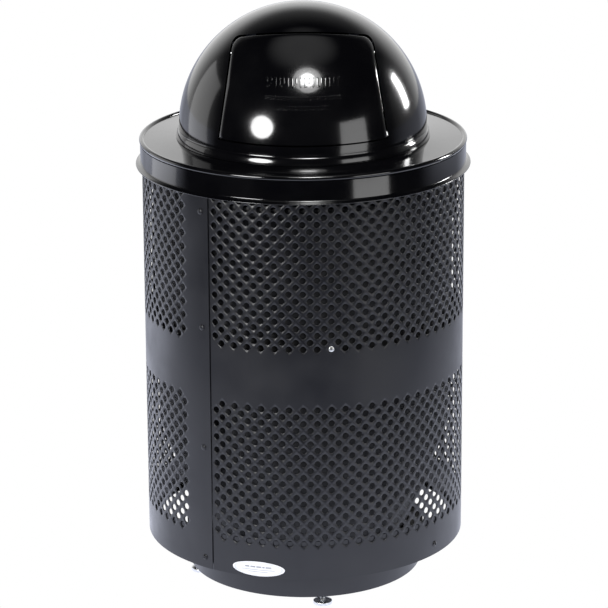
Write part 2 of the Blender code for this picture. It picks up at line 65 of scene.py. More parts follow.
# --- driving dimensions -----------------------------------------------------------------------------
GAP = 0.0003
FINE = 192  # segments round the big turned pieces
MEDIUM = 96
SMALL = 32
NUT_STEPS = 36

SHEET_T = 0.0012
SHELL_R = 0.2855
SHELL_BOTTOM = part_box("shell")[0].z
SHELL_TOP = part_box("shell")[1].z
LAP_EDGE = math.radians(-34.85)
LAP_SPAN = math.radians(12.0)
LAP_T = 0.0012
LAP_SLOT = 0.0017  # the dark line in front of the lap's edge

HALF_COLUMNS = 146  # the holes stand in 73 staggered columns, so 146 half steps go round
COLUMN_STEP = math.tau / HALF_COLUMNS
COLUMN_START = math.radians(-0.45)
ROW_STEP = 0.01233
UPPER_ROWS = (-3, 18)
UPPER_ZERO = 0.7285  # height of row 0 of the upper band
LOWER_ROWS = (0, 20)
LOWER_ZERO = 0.3963
HOLE_R = 0.0064
HOLE_INNER_R = 0.0054  # the punch leaves a dished edge, so a hole is narrower at the back
SEAM_COLUMN = -14  # the grid starts and ends at this half column, the lap's visible edge
SEAM_WIDTH = 4  # half columns behind the edge that hold no holes
RIM_START = (-90.0, 180.0, 90.0, 0.0)  # where a quarter hole starts, by the cell's corner that it is in

PLINTH_R = 0.2103
PLINTH_T = 0.0020
PLINTH_EDGE = 0.0009
RIM_RING_WALL = 0.0028
RIM_RING_EDGE = 0.0006
FOOT_CIRCLE_R = 0.1943
FOOT_STEM_R = 0.0047
FOOT_PAD_R = 0.017
FOOT_PAD_H = 0.0052
FOOT_PAD_FOOT = 0.0022  # radius of the pad's lower edge
FOOT_PAD_EDGE = 0.0016
FOOT_COLLAR_R = 0.0105
FOOT_COLLAR_TOP = 0.0085
THREAD_DEPTH = 0.0006
THREAD_START = 0.0080
THREAD_PITCH = 0.00125
THREAD_RINGS = 4  # rings of points in one turn
NUT_CORNER_R = 0.0095
NUT_FACE_R = 0.0086
NUT_BEVEL = 0.0008
NUT_BORE_R = 0.0052
FOOT_AZIMUTHS = [math.radians(9.0 + 90.0 * k) for k in range(4)]

FASTENER_AZIMUTH = math.radians(-38.1)
BASE_SCREW_AZIMUTHS = [FASTENER_AZIMUTH] + [math.radians(53.9 + 89.0 * k) for k in range(3)]
BAND_RIVET_AZIMUTH = math.radians(9.4)
HEAD_R = 0.0052
HEAD_H = 0.0024
SHANK_R = 0.0022
SHANK_END = -0.0044
TAIL = ((0.0040, SHANK_END), (0.0034, -0.0056), (0.0, -0.0058))  # the end inside the drum: radius, depth
SOCKET = ((0.0, HEAD_H - 0.0013), (0.0019, HEAD_H - 0.0012), (0.0021, HEAD_H - 0.0001))
LABEL_AZIMUTH = math.radians(-16.9)
LABEL_HALF_W = 0.048
LABEL_HALF_H = 0.0135
LABEL_T = 0.0005
PRINT_T = 0.00008
RING_SHARES = (0.93, 0.86, 0.94)  # of the label's half width and height, and of the ring that stays open
WORDS = ((-0.024, -0.016), (-0.014, -0.005), (-0.003, 0.006), (0.008, 0.012), (0.014, 0.024))
WORD_LINE = (0.0022, 0.0048)
LABEL_RULES = ((0.030, -0.0022, -0.0014), (0.018, -0.0058, -0.0050))  # half width, foot, top

LINER_T = 0.0030
LINER_BOTTOM_R = 0.190
LINER_SHOULDER = 0.280
LINER_SHOULDER_R = 0.258
LINER_TOP_R = 0.268
LINER_RIM = 0.0080
LINER_RIM_HEM = 0.0145  # from the rim's top down to the middle of its rounded foot
LINER_CORNER = 0.012
LINER_EDGE = 0.002
LINER_SOFT = 0.0012
LINER_GROOVES = (0.66, 0.54, 0.42)
GROOVE = ((0.008, 0.0), (0.004, -0.0010), (-0.004, -0.0010), (-0.008, 0.0))  # up, out

SKIRT_R = 0.2884
SKIRT_T = 0.0010
LIP_R = 0.2965
LIP_RISE = 0.0060  # from the lip up to where the flare starts
LIP_EDGE = 0.0010
FLARE_R = 0.0032
FLARE_BACK_R = 0.0044
HEM_RING_R = 0.2853
HEM_R = 0.0045
LID_T = 0.0012
LID_CROWN = 0.003
COLLAR_BEND = 0.0025
COLLAR_PLAY = 0.0004
LID_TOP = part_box("dome")[0].z - GAP - LID_CROWN
HEM_CENTRE = LID_TOP - 0.0013
LIP_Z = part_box("lid_skirt")[0].z + 0.0012

DOME_R = 0.2192
DOME_T = 0.0012
DOME_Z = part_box("dome")[1].z - DOME_R
DOME_BEAD_R = 0.2245
DOME_BEAD_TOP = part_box("dome")[0].z + 0.0138
BAND_CURVE_R = 0.038  # the band at the dome's foot leans in and is slightly barrel shaped
BAND_LEAN = (22.0, 3.0)
BAND_EDGE = 0.0006
DOME_FILLET = 0.0010
DOME_ROWS = 56
DOOR_ROWS = 20
DOOR_TILT = math.radians(28.0)  # from level up to the middle of the door
OUTLINE_STEPS = 320
DOOR_GAP = 0.0025
DOOR_BOTTOM = 0.070 * DOME_R
DOOR_TOP = 0.873 * DOME_R
DOOR_TOP_DROP = 0.239 / DOME_R
DOOR_HALF_BOTTOM = 0.670 * DOME_R
DOOR_HALF_TOP = 0.5585 * DOME_R
DOOR_SHOULDER = 0.797 * DOME_R
DOOR_BOTTOM_CORNER = 0.012 * DOME_R
DOOR_TOP_CORNER = 0.11 * DOME_R
MARK_ROWS = (  # height above the dome's centre, height of a stroke, half width of the row, stroke, gap
    (0.120, 0.0150, 0.066, 0.0032, 0.0040),
    (0.096, 0.0060, 0.064, 0.0016, 0.0026),
    (0.080, 0.0070, 0.044, 0.0020, 0.0030),
)

HINGE = next(j for j in frame["joints"] if j["name"] == "door_swing")["pos_m"]
ROD_HOLE_R = 0.0033
EAR_X = 0.1130
EAR_T = 0.0020
EAR_R = 0.0070
EAR_EDGE = 0.0002
NECK_ANGLE = math.radians(33.0)
NECK_HALF_W = 0.006
SPRING_X = 0.0960
SPRING_COIL_R = 0.0060
SPRING_WIRE_R = 0.0009
SPRING_TURNS = 4
SPRING_PITCH = 0.0026
SPRING_LONG_LEG = 0.022
SPRING_SHORT_LEG = 0.005
SPRING_STEPS = 24  # points in one turn

CAMERA_DISTANCE = 5.490
CAMERA_HEIGHT = 2.212
CAMERA_PITCH = 17.32
CAMERA_ROLL = -0.32
CAMERA_LENS = 189.4
FLOOR_R = 14.0
FLOOR_NEAR = 1.5
FLOOR_NEAR_R = 0.85
FLOOR_FAR_R = 1.35
FLOOR_FADE = (1.4, 3.2, 0.35)  # where the glow on the floor starts and stops fading, and what is left of it
FLOOR_TINT = (0.90, 0.94, 1.10, 1.0)
FLOOR_SQUEEZE = (0.72, 1.0, 1.0)  # the pool of light is wider than it is deep
WORLD_FRONT = 0.015
OVERHEAD = 0.5
WALL_GLOWS = (  # azimuth of the middle, cosines where it starts and is full, strength
    (180.0, 0.45, 0.98, 1.55),
    (-122.0, 0.80, 0.99, 0.5),
    (125.0, 0.80, 0.99, 0.3),
)
FLOOR_GLOWS = (
    (180.0, 0.40, 0.98, 1.55),
    (-122.0, 0.79, 0.99, 1.9),
    (125.0, 0.75, 0.99, 0.75),
)
WORLD_TOP = 0.22  # share of the back's light that is left overhead
WALL_FADE = (0.32, 0.64)  # sines of the elevations between which the walls' light falls to that share
CEILING = (0.88, 0.99)  # and between which the light straight overhead comes in
LAMPS = (  # name, azimuth, elevation, distance, width, height, power, shape
    ("lamp_high", 6.5, 54.0, 3.0, 0.62, 0.62, 34.0, "ELLIPSE"),
    ("lamp_high_halo", 6.5, 54.0, 3.2, 1.35, 1.35, 26.0, "ELLIPSE"),
    ("lamp_low", -37.4, 9.5, 3.0, 1.1, 1.0, 58.0, "ELLIPSE"),
    ("panel_right", 46.0, -4.0, 3.0, 1.35, 1.9, 22.0, "RECTANGLE"),
    ("panel_left", -112.0, 0.0, 3.0, 1.7, 2.9, 14.0, "RECTANGLE"),
    ("strip_right", 113.0, 13.0, 3.0, 0.40, 1.0, 50.0, "RECTANGLE"),
)


# --- materials --------------------------------------------------------------------------------------
def principled(name, **values):
    made = bpy.data.materials.new(name)
    made.use_nodes = True
    shader = made.node_tree.nodes["Principled BSDF"]
    for socket, value in values.items():
        shader.inputs[socket.replace("_", " ")].default_value = value
    return made, made.node_tree, shader


def noise_node(tree, scale, detail=3.0, roughness=0.5, stretch=(1.0, 1.0, 1.0)):
    place = tree.nodes.new("ShaderNodeTexCoord")
    mapping = tree.nodes.new("ShaderNodeMapping")
    mapping.inputs["Scale"].default_value = stretch
    tree.links.new(place.outputs["Object"], mapping.inputs["Vector"])
    texture = tree.nodes.new("ShaderNodeTexNoise")
    texture.inputs["Scale"].default_value = scale
    texture.inputs["Detail"].default_value = detail
    texture.inputs["Roughness"].default_value = roughness
    tree.links.new(mapping.outputs["Vector"], texture.inputs["Vector"])
    return texture.outputs["Fac"]


def spread(tree, value, low, high, start=0.3, end=0.7, curve="LINEAR"):
    """Maps a value onto a range. What lies outside start and end gets the range's nearer end."""
    node = tree.nodes.new("ShaderNodeMapRange")
    node.interpolation_type = curve
    for socket, number in (("From Min", start), ("From Max", end), ("To Min", low), ("To Max", high)):
        node.inputs[socket].default_value = number
    tree.links.new(value, node.inputs["Value"])
    return node.outputs["Result"]


def blend_colors(tree, factor, first, second):
    node = tree.nodes.new("ShaderNodeMix")
    node.data_type = "RGBA"
    node.inputs[6].default_value = (*first, 1.0)
    node.inputs[7].default_value = (*second, 1.0)
    tree.links.new(factor, node.inputs[0])
    return node.outputs[2]


def paint(tree, shader, color, roughness):
    tree.links.new(color, shader.inputs["Base Color"])
    tree.links.new(roughness, shader.inputs["Roughness"])


def bumps(tree, shader, layers):
    """Chains bump nodes, each from (height value, distance in metres, strength)."""
    normal = None
    for height, distance, strength in layers:
        node = tree.nodes.new("ShaderNodeBump")
        node.inputs["Distance"].default_value = distance
        node.inputs["Strength"].default_value = strength
        tree.links.new(height, node.inputs["Height"])
        if normal is not None:
            tree.links.new(normal, node.inputs["Normal"])
        normal = node.outputs["Normal"]
    tree.links.new(normal, shader.inputs["Normal"])


def satin_powder_coat():
    """Black powder coat on sheet steel: fine orange peel, patches of different sheen and a bloom of dust."""
    made, tree, shader = principled("satin_powder_coat", Specular_IOR_Level=0.5)
    dust = spread(tree, noise_node(tree, 9.0, 5.0, 0.6), 0.0, 1.0, 0.42, 0.75)
    color = blend_colors(tree, dust, (0.0042, 0.0046, 0.0072), (0.0085, 0.0088, 0.0112))
    paint(tree, shader, color, spread(tree, noise_node(tree, 14.0, 4.0), 0.33, 0.45))
    peel = noise_node(tree, 650.0, 2.0)
    dents = noise_node(tree, 7.0, 1.0)
    bumps(tree, shader, [(dents, 0.0016, 0.35), (peel, 0.00012, 0.35)])
    return made


def gloss_coat():
    """Gloss black on pressed steel: long soft waves in the panel, faint orange peel and hazy smears."""
    made, tree, shader = principled(
        "gloss_coat", Specular_IOR_Level=0.5, Coat_Weight=0.35, Coat_Roughness=0.05)
    haze = spread(tree, noise_node(tree, 11.0, 5.0, 0.6), 0.0, 1.0, 0.45, 0.8)
    color = blend_colors(tree, haze, (0.0016, 0.0016, 0.0022), (0.0036, 0.0036, 0.0042))
    paint(tree, shader, color, spread(tree, noise_node(tree, 16.0, 4.0), 0.085, 0.16))
    waves = noise_node(tree, 10.0, 1.0)
    peel = noise_node(tree, 420.0, 1.0)
    bumps(tree, shader, [(waves, 0.0010, 0.18), (peel, 0.00005, 0.25)])
    return made


def zinc_plate():
    made, tree, shader = principled("zinc_plate", Metallic=1.0)
    spangle = spread(tree, noise_node(tree, 160.0, 4.0, 0.65), 0.0, 1.0)
    color = blend_colors(tree, spangle, (0.46, 0.47, 0.48), (0.72, 0.72, 0.70))
    paint(tree, shader, color, spread(tree, noise_node(tree, 320.0, 3.0), 0.22, 0.42))
    bumps(tree, shader, [(noise_node(tree, 900.0, 2.0), 0.00006, 0.4)])
    return made


def black_zinc():
    """Zinc blackened in a bath: dark, with a slight sheen and paler where a driver has touched it."""
    made, tree, shader = principled("black_zinc", Metallic=0.8)
    rubbed = spread(tree, noise_node(tree, 300.0, 4.0, 0.65), 0.0, 1.0, 0.45, 0.75)
    color = blend_colors(tree, rubbed, (0.018, 0.018, 0.020), (0.15, 0.15, 0.15))
    paint(tree, shader, color, spread(tree, noise_node(tree, 320.0, 3.0), 0.28, 0.45))
    bumps(tree, shader, [(noise_node(tree, 900.0, 2.0), 0.00005, 0.4)])
    return made


def drawn_wire():
    made, tree, shader = principled("drawn_wire", Metallic=1.0)
    streaks = spread(tree, noise_node(tree, 300.0, 3.0, 0.5, (0.1, 1.0, 1.0)), 0.0, 1.0)
    color = blend_colors(tree, streaks, (0.22, 0.22, 0.23), (0.36, 0.36, 0.37))
    paint(tree, shader, color, spread(tree, streaks, 0.22, 0.36, 0.0, 1.0))
    bumps(tree, shader, [(streaks, 0.00005, 0.4)])
    return made


def moulded_plastic():
    made, tree, shader = principled("moulded_plastic", Specular_IOR_Level=0.4)
    scuffs = spread(tree, noise_node(tree, 24.0, 6.0, 0.7, (1.0, 1.0, 0.2)), 0.0, 1.0, 0.5, 0.75)
    color = blend_colors(tree, scuffs, (0.013, 0.013, 0.014), (0.030, 0.030, 0.031))
    paint(tree, shader, color, spread(tree, noise_node(tree, 60.0, 3.0), 0.5, 0.68))
    bumps(tree, shader, [(noise_node(tree, 1100.0, 2.0), 0.00008, 0.5)])
    return made


def label_film(name, light, dark):
    made, tree, shader = principled(name, Specular_IOR_Level=0.5)
    stain = spread(tree, noise_node(tree, 60.0, 4.0, 0.6), 0.0, 1.0, 0.5, 0.8)
    color = blend_colors(tree, stain, light, dark)
    paint(tree, shader, color, spread(tree, noise_node(tree, 90.0, 2.0), 0.28, 0.42))
    bumps(tree, shader, [(noise_node(tree, 500.0, 1.0), 0.00003, 0.3)])
    return made


SATIN = satin_powder_coat()
GLOSS = gloss_coat()
ZINC = zinc_plate()
BLACK_ZINC = black_zinc()
WIRE = drawn_wire()
PLASTIC = moulded_plastic()
LABEL = label_film("label_film", (0.80, 0.80, 0.80), (0.68, 0.68, 0.67))
PRINT = label_film("label_print", (0.30, 0.31, 0.34), (0.42, 0.42, 0.44))
RING_PRINT = label_film("label_ring", (0.62, 0.64, 0.66), (0.55, 0.56, 0.58))


# --- mesh helpers -----------------------------------------------------------------------------------
def piece(name, points, faces, look, body, replaced=(), angle=35.0):
    """Makes a closed mesh a piece of the bin: smooth, finished, riding on its body."""
    shape = bmesh.new()
    corners = [shape.verts.new(p) for p in points]
    for face in faces:
        shape.faces.new([corners[i] for i in face])
    bmesh.ops.remove_doubles(shape, verts=shape.verts, dist=1e-6)
    bmesh.ops.dissolve_degenerate(shape, edges=shape.edges, dist=1e-7)
    bmesh.ops.recalc_face_normals(shape, faces=shape.faces)
    mesh = bpy.data.meshes.new(name)
    shape.to_mesh(mesh)
    shape.free()
    made = bpy.data.objects.new(name, mesh)
    bpy.context.scene.collection.objects.link(made)
    return adopt(made, look, body, replaced, angle)


def adopt(made, look, body, replaced=(), angle=35.0):
    made.data.shade_smooth()
    made.data.set_sharp_from_angle(angle=math.radians(angle))
    made.data.materials.clear()
    made.data.materials.append(look)
    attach(made, body)
    if replaced:
        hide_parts(*replaced)
    return made


def arc(center_x, center_z, radius, start, end, count):
    """Points on a circle, angles in degrees from +X towards +Z."""
    angles = [math.radians(start + (end - start) * i / count) for i in range(count + 1)]
    return [(center_x + radius * math.cos(a), center_z + radius * math.sin(a)) for a in angles]


def grid_faces(rows, columns, wrap_rows, wrap_columns):
    faces = []
    for i in range(rows if wrap_rows else rows - 1):
        for j in range(columns if wrap_columns else columns - 1):
            k, m = (i + 1) % rows, (j + 1) % columns
            faces.append((i * columns + j, i * columns + m, k * columns + m, k * columns + j))
    return faces


def turned(profile, steps, closed=True):
    """A profile of (radius, height) turned about the upright axis. An open one starts and ends on it."""
    points = []
    for radius, height in profile:
        for k in range(steps):
            azimuth = math.tau * k / steps
            points.append((radius * math.sin(azimuth), -radius * math.cos(azimuth), height))
    return points, grid_faces(len(profile), steps, closed, True)


def placed(points, matrix):
    return [tuple(matrix @ Vector(p)) for p in points]


def radial(azimuth, radius, height):
    """A frame on the drum: its Z points outwards, its X points down and its Y runs round the drum."""
    out = Vector((math.sin(azimuth), -math.cos(azimuth), 0.0))
    down = Vector((0.0, 0.0, -1.0))
    around = out.cross(down)
    turn = Matrix((down, around, out)).transposed().to_4x4()
    return Matrix.Translation(out * radius + Vector((0.0, 0.0, height))) @ turn


def joined(parts):
    """One list of points and faces out of several."""
    points, faces = [], []
    for more_points, more_faces in parts:
        start = len(points)
        points += more_points
        faces += [tuple(i + start for i in face) for face in more_faces]
    return points, faces


def plate(name, outlines, thickness, matrix, edge=0.0):
    """Points and faces of a flat outline, with holes, given a thickness and a small bevel."""
    curve = bpy.data.curves.new(name, "CURVE")
    curve.dimensions = "2D"
    curve.fill_mode = "BOTH"
    curve.extrude = thickness / 2 - edge
    curve.bevel_depth = edge
    curve.bevel_resolution = 1
    curve.offset = -edge
    for outline in outlines:
        spline = curve.splines.new("POLY")
        spline.points.add(len(outline) - 1)
        spline.use_cyclic_u = True
        for point, (x, y) in zip(spline.points, outline):
            point.co = (x, y, 0.0, 1.0)
    holder = bpy.data.objects.new(name, curve)
    bpy.context.scene.collection.objects.link(holder)
    bpy.context.view_layer.update()
    mesh = bpy.data.meshes.new_from_object(holder.evaluated_get(bpy.context.evaluated_depsgraph_get()))
    points = [tuple(matrix @ v.co) for v in mesh.vertices]
    faces = [tuple(p.vertices) for p in mesh.polygons]
    bpy.data.objects.remove(holder)
    bpy.data.curves.remove(curve)
    bpy.data.meshes.remove(mesh)
    return points, faces


# --- perforated drum --------------------------------------------------------------------------------
def column_azimuth(i):
    """The grid's columns start at the lap's visible edge and end there again, a whole turn on."""
    if i == SEAM_COLUMN:
        return LAP_EDGE + LAP_SLOT / SHELL_R
    if i == SEAM_COLUMN + HALF_COLUMNS:
        return LAP_EDGE + math.tau
    return COLUMN_START + i * COLUMN_STEP


def grid_rows():
    """Heights of the grid's lines from the top down, and the lattice row of each line that can hold holes."""
    heights, lattice = [SHELL_TOP], {}
    for zero, (first, last) in ((UPPER_ZERO, UPPER_ROWS), (LOWER_ZERO, LOWER_ROWS)):
        for k in range(first - 1, last + 2):
            if first <= k <= last:
                lattice[len(heights)] = k
            heights.append(zero - k * ROW_STEP)
    heights.append(SHELL_BOTTOM)
    return heights, lattice


class Drum:
    """The perforated sheet. Its outer and inner faces share one grid of half columns and rows."""

    def __init__(self):
        self.points, self.faces, self.index, self.border = [], [], {}, set()
        self.heights, self.lattice = grid_rows()

    def at(self, azimuth, height, inside):
        key = (round(azimuth, 6), round(height, 6), inside)
        if key not in self.index:
            behind = LAP_EDGE + math.tau - azimuth
            proud = LAP_T * max(0.0, 1.0 - behind / LAP_SPAN)
            radius = SHELL_R + proud - (SHEET_T if inside else 0.0)
            self.index[key] = len(self.points)
            self.points.append((radius * math.sin(azimuth), -radius * math.cos(azimuth), height))
        return self.index[key]

    def corner(self, i, row, inside):
        return self.at(column_azimuth(i), self.heights[row], inside)

    def is_hole(self, i, row):
        if i == SEAM_COLUMN or i >= SEAM_COLUMN + HALF_COLUMNS - SEAM_WIDTH:
            return False
        return row in self.lattice and (i + self.lattice[row]) % 2 == 0

    def rim(self, i, row, inside, start, count):
        """Points of a hole's edge, 30 degrees apart."""
        radius = HOLE_INNER_R if inside else HOLE_R
        azimuth, height = column_azimuth(i), self.heights[row]
        angles = [math.radians(start + 30.0 * k) for k in range(count)]
        return [self.at(azimuth + radius * math.cos(a) / SHELL_R, height + radius * math.sin(a), inside)
                for a in angles]

    def cell(self, i, row, inside):
        """One cell: a quarter of a hole may sit in either of two opposite corners."""
        corners = [(i, row), (i + 1, row), (i + 1, row + 1), (i, row + 1)]
        at = [self.corner(c, r, inside) for c, r in corners]
        holes = [n for n, (c, r) in enumerate(corners) if self.is_hole(c, r)]
        if not holes:
            self.faces.append(tuple(at))
            return
        for n in (holes[0], (holes[0] + 2) % 4):
            before, after = at[n - 1], at[(n + 1) % 4]
            if n in holes:
                rim = self.rim(*corners[n], inside, RIM_START[n], 4)
                self.faces.append((before, rim[0], rim[1]))
                self.faces.append((before, rim[1], rim[2], after))
                self.faces.append((after, rim[2], rim[3]))
            else:
                self.faces.append((before, at[n], after))

    def wall(self, line):
        """Joins the outer and inner faces along a line of (azimuth, height) points."""
        for (a, low), (b, high) in zip(line, line[1:]):
            outer = [self.at(a, low, False), self.at(b, high, False)]
            quad = (*outer, self.at(b, high, True), self.at(a, low, True))
            self.faces.append(quad)
            self.border.update(self.points[i] for i in quad)

    def build(self):
        columns = range(SEAM_COLUMN, SEAM_COLUMN + HALF_COLUMNS)
        last_row = len(self.heights) - 1
        for row in range(last_row):
            for i in columns:
                self.cell(i, row, False)
                self.cell(i, row, True)
                if self.is_hole(i, row):
                    outer = self.rim(i, row, False, 0.0, 12)
                    inner = self.rim(i, row, True, 0.0, 12)
                    self.faces += [(outer[k - 1], outer[k], inner[k], inner[k - 1]) for k in range(12)]
        for row in (0, last_row):
            self.wall([(column_azimuth(i), self.heights[row]) for i in (*columns, columns.stop)])
        for i in (SEAM_COLUMN, columns.stop):
            self.wall([(column_azimuth(i), height) for height in self.heights])


def make_drum():
    drum = Drum()
    drum.build()
    sheet = piece("drum_sheet", drum.points, drum.faces, SATIN, "body", ["shell"], 180.0)
    border = {tuple(round(c, 5) for c in point) for point in drum.border}
    outline = [tuple(round(c, 5) for c in vertex.co) in border for vertex in sheet.data.vertices]
    for edge in sheet.data.edges:
        edge.use_edge_sharp = all(outline[i] for i in edge.vertices)


# --- base -------------------------------------------------------------------------------------------
def make_rim_ring():
    low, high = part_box("rim_ring")
    outer, inner, soft = high.x, high.x - RIM_RING_WALL, RIM_RING_EDGE
    profile = [(inner + soft, high.z), (outer - soft, high.z), (outer, high.z - soft), (outer, low.z + soft)]
    profile += [(outer - soft, low.z), (inner + soft, low.z), (inner, low.z + soft), (inner, high.z - soft)]
    piece("rim_ring_coated", *turned(profile, FINE), SATIN, "body", ["rim_ring"])


def make_plinth():
    low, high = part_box("plinth")
    wall, soft = PLINTH_R - PLINTH_T, PLINTH_EDGE
    profile = [(wall, high.z), (PLINTH_R, high.z), (PLINTH_R, low.z + soft)]
    profile += arc(PLINTH_R - soft, low.z + soft, soft, 0, -90, 4)[1:]
    profile += arc(wall + soft, low.z + soft, soft, -90, -180, 4)
    piece("plinth_coated", *turned(profile, FINE), SATIN, "body", ["plinth"])


def foot_place(azimuth, height):
    return Matrix.Translation((FOOT_CIRCLE_R * math.sin(azimuth), -FOOT_CIRCLE_R * math.cos(azimuth), height))


def thread(radius, depth, low, high, pitch, steps):
    """A screw thread: the radius of each ring falls and rises as it climbs."""
    points = []
    rings = int((high - low) / pitch * THREAD_RINGS)
    for ring in range(rings + 1):
        for k in range(steps):
            phase = (ring / THREAD_RINGS - k / steps) % 1.0
            r = radius - depth * (1.0 - abs(2.0 * phase - 1.0))
            angle = math.tau * k / steps
            points.append((r * math.cos(angle), r * math.sin(angle), low + ring * pitch / THREAD_RINGS))
    faces = grid_faces(rings + 1, steps, False, True)
    faces += [tuple(range(steps)), tuple(range(rings * steps, rings * steps + steps))]
    return points, faces


def make_feet():
    """Each foot is a round pad with a collar, and a threaded stem."""
    sole, rim = FOOT_PAD_R - FOOT_PAD_FOOT, FOOT_PAD_R - FOOT_PAD_EDGE
    pad = [(0.0, 0.0), (sole, 0.0)] + arc(sole, FOOT_PAD_FOOT, FOOT_PAD_FOOT, -90, 0, 4)[1:]
    pad += [(FOOT_PAD_R, FOOT_PAD_H)] + arc(rim, FOOT_PAD_H, FOOT_PAD_EDGE, 0, 60, 3)[1:]
    pad += [(FOOT_COLLAR_R, FOOT_COLLAR_TOP), (0.0, FOOT_COLLAR_TOP)]
    for number, azimuth in enumerate(FOOT_AZIMUTHS, start=1):
        name = f"levelling_foot_{number}"
        low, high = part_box(name)
        stem = thread(FOOT_STEM_R, THREAD_DEPTH, THREAD_START, high.z - low.z, THREAD_PITCH, SMALL)
        points, faces = joined([turned(pad, SMALL, closed=False), stem])
        points = placed(points, foot_place(azimuth, low.z))
        piece(f"{name}_threaded", points, faces, ZINC, f"foot_{number}", [name])
        make_nut(number, azimuth)


def make_nut(number, azimuth):
    """A hexagon weld nut with its corners turned off."""
    name = f"foot_nut_{number}"
    low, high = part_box(name)
    height = high.z - low.z
    angles = [math.tau * k / NUT_STEPS for k in range(NUT_STEPS)]
    points = []
    for z in (0.0, NUT_BEVEL, height - NUT_BEVEL, height):
        for angle in angles:
            flat = NUT_CORNER_R * math.cos(math.pi / 6) / math.cos((angle % (math.pi / 3)) - math.pi / 6)
            radius = min(flat, NUT_FACE_R) if z in (0.0, height) else flat
            points.append((radius * math.cos(angle), radius * math.sin(angle), z))
    for z in (height, 0.0):
        points += [(NUT_BORE_R * math.cos(angle), NUT_BORE_R * math.sin(angle), z) for angle in angles]
    faces = grid_faces(6, NUT_STEPS, True, True)
    piece(f"{name}_hex", placed(points, foot_place(azimuth, low.z)), faces, ZINC, "body", [name])


# --- fasteners and label ----------------------------------------------------------------------------
def seat_radius(azimuth):
    behind = LAP_EDGE - azimuth
    return SHELL_R + (LAP_T * (1.0 - behind / LAP_SPAN) if 0.0 <= behind <= LAP_SPAN else 0.0)


def make_head(name, node, azimuth, look, socket):
    """A domed head on a short shank, with a hexagon socket if it is a screw."""
    low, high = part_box(node)
    height = (low.z + high.z) / 2
    dome = arc(0.0, 0.0, 1.0, 90, 8, 10)
    profile = [(HEAD_R * x, GAP + (HEAD_H - GAP) * z) for x, z in dome]
    profile += [(HEAD_R, GAP), (SHANK_R, GAP), (SHANK_R, SHANK_END), *TAIL]
    if socket:
        profile[:3] = SOCKET
    points, faces = turned(profile, SMALL, closed=False)
    piece(name, placed(points, radial(azimuth, seat_radius(azimuth), height)), faces, look, "body", [node])


def make_fasteners():
    for name in ("top", "middle", "lower"):
        make_head(f"seam_rivet_{name}_domed", f"seam_rivet_{name}", FASTENER_AZIMUTH, SATIN, False)
    for number, azimuth in enumerate(BASE_SCREW_AZIMUTHS, start=1):
        make_head(f"base_screw_{number}_domed", f"base_screw_{number}", azimuth, BLACK_ZINC, True)
    make_head("band_rivet_domed", "band_rivet", BAND_RIVET_AZIMUTH, ZINC, False)


def label_disc(half_w, half_h, base, thickness, inner=None):
    """An oval that follows the drum, or an oval ring. The edges are rounded."""
    middle = (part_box("label_plate")[0].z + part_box("label_plate")[1].z) / 2
    soft = thickness * 0.35
    rings = [(1.0, base), (1.0, base + thickness - soft), (1.0 - soft / half_h, base + thickness)]
    shares = [1.0 - k / 8 for k in range(1, 9)] if inner is None else [inner]
    rings += [(share, base + thickness) for share in shares]
    rings += [(share, base) for share in reversed(shares)]
    points = []
    for share, lift in rings:
        for k in range(MEDIUM):
            angle = math.tau * k / MEDIUM
            azimuth = LABEL_AZIMUTH + share * half_w * math.cos(angle) / SHELL_R
            radius = SHELL_R + lift
            height = middle + share * half_h * math.sin(angle)
            points.append((radius * math.sin(azimuth), -radius * math.cos(azimuth), height))
    return points, grid_faces(len(rings), MEDIUM, True, True)


def label_bar(left, right, low, high, base, thickness):
    """A thin bar on the label, in its own metres from the label's middle."""
    middle = (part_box("label_plate")[0].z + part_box("label_plate")[1].z) / 2
    steps = 6
    points = []
    for height, lift in ((low, base), (low, base + thickness), (high, base + thickness), (high, base)):
        for k in range(steps + 1):
            azimuth = LABEL_AZIMUTH + (left + (right - left) * k / steps) / SHELL_R
            radius = SHELL_R + lift
            points.append((radius * math.sin(azimuth), -radius * math.cos(azimuth), middle + height))
    ends = [tuple(k * (steps + 1) + e for k in range(4)) for e in (0, steps)]
    return points, grid_faces(4, steps + 1, True, False) + ends


def make_label():
    """A white oval plate with a printed ring and plain bars in place of any wording."""
    piece("label_oval", *label_disc(LABEL_HALF_W, LABEL_HALF_H, GAP, LABEL_T), LABEL, "body", ["label_plate"])
    top = GAP + LABEL_T
    wide, tall, hollow = RING_SHARES
    ring = label_disc(LABEL_HALF_W * wide, LABEL_HALF_H * tall, top, PRINT_T, hollow)
    piece("label_ring", *ring, RING_PRINT, "body")
    bars = [label_bar(left, right, *WORD_LINE, top, PRINT_T) for left, right in WORDS]
    bars += [label_bar(-half, half, foot, head, top, PRINT_T) for half, foot, head in LABEL_RULES]
    piece("label_bars", *joined(bars), PRINT, "body")


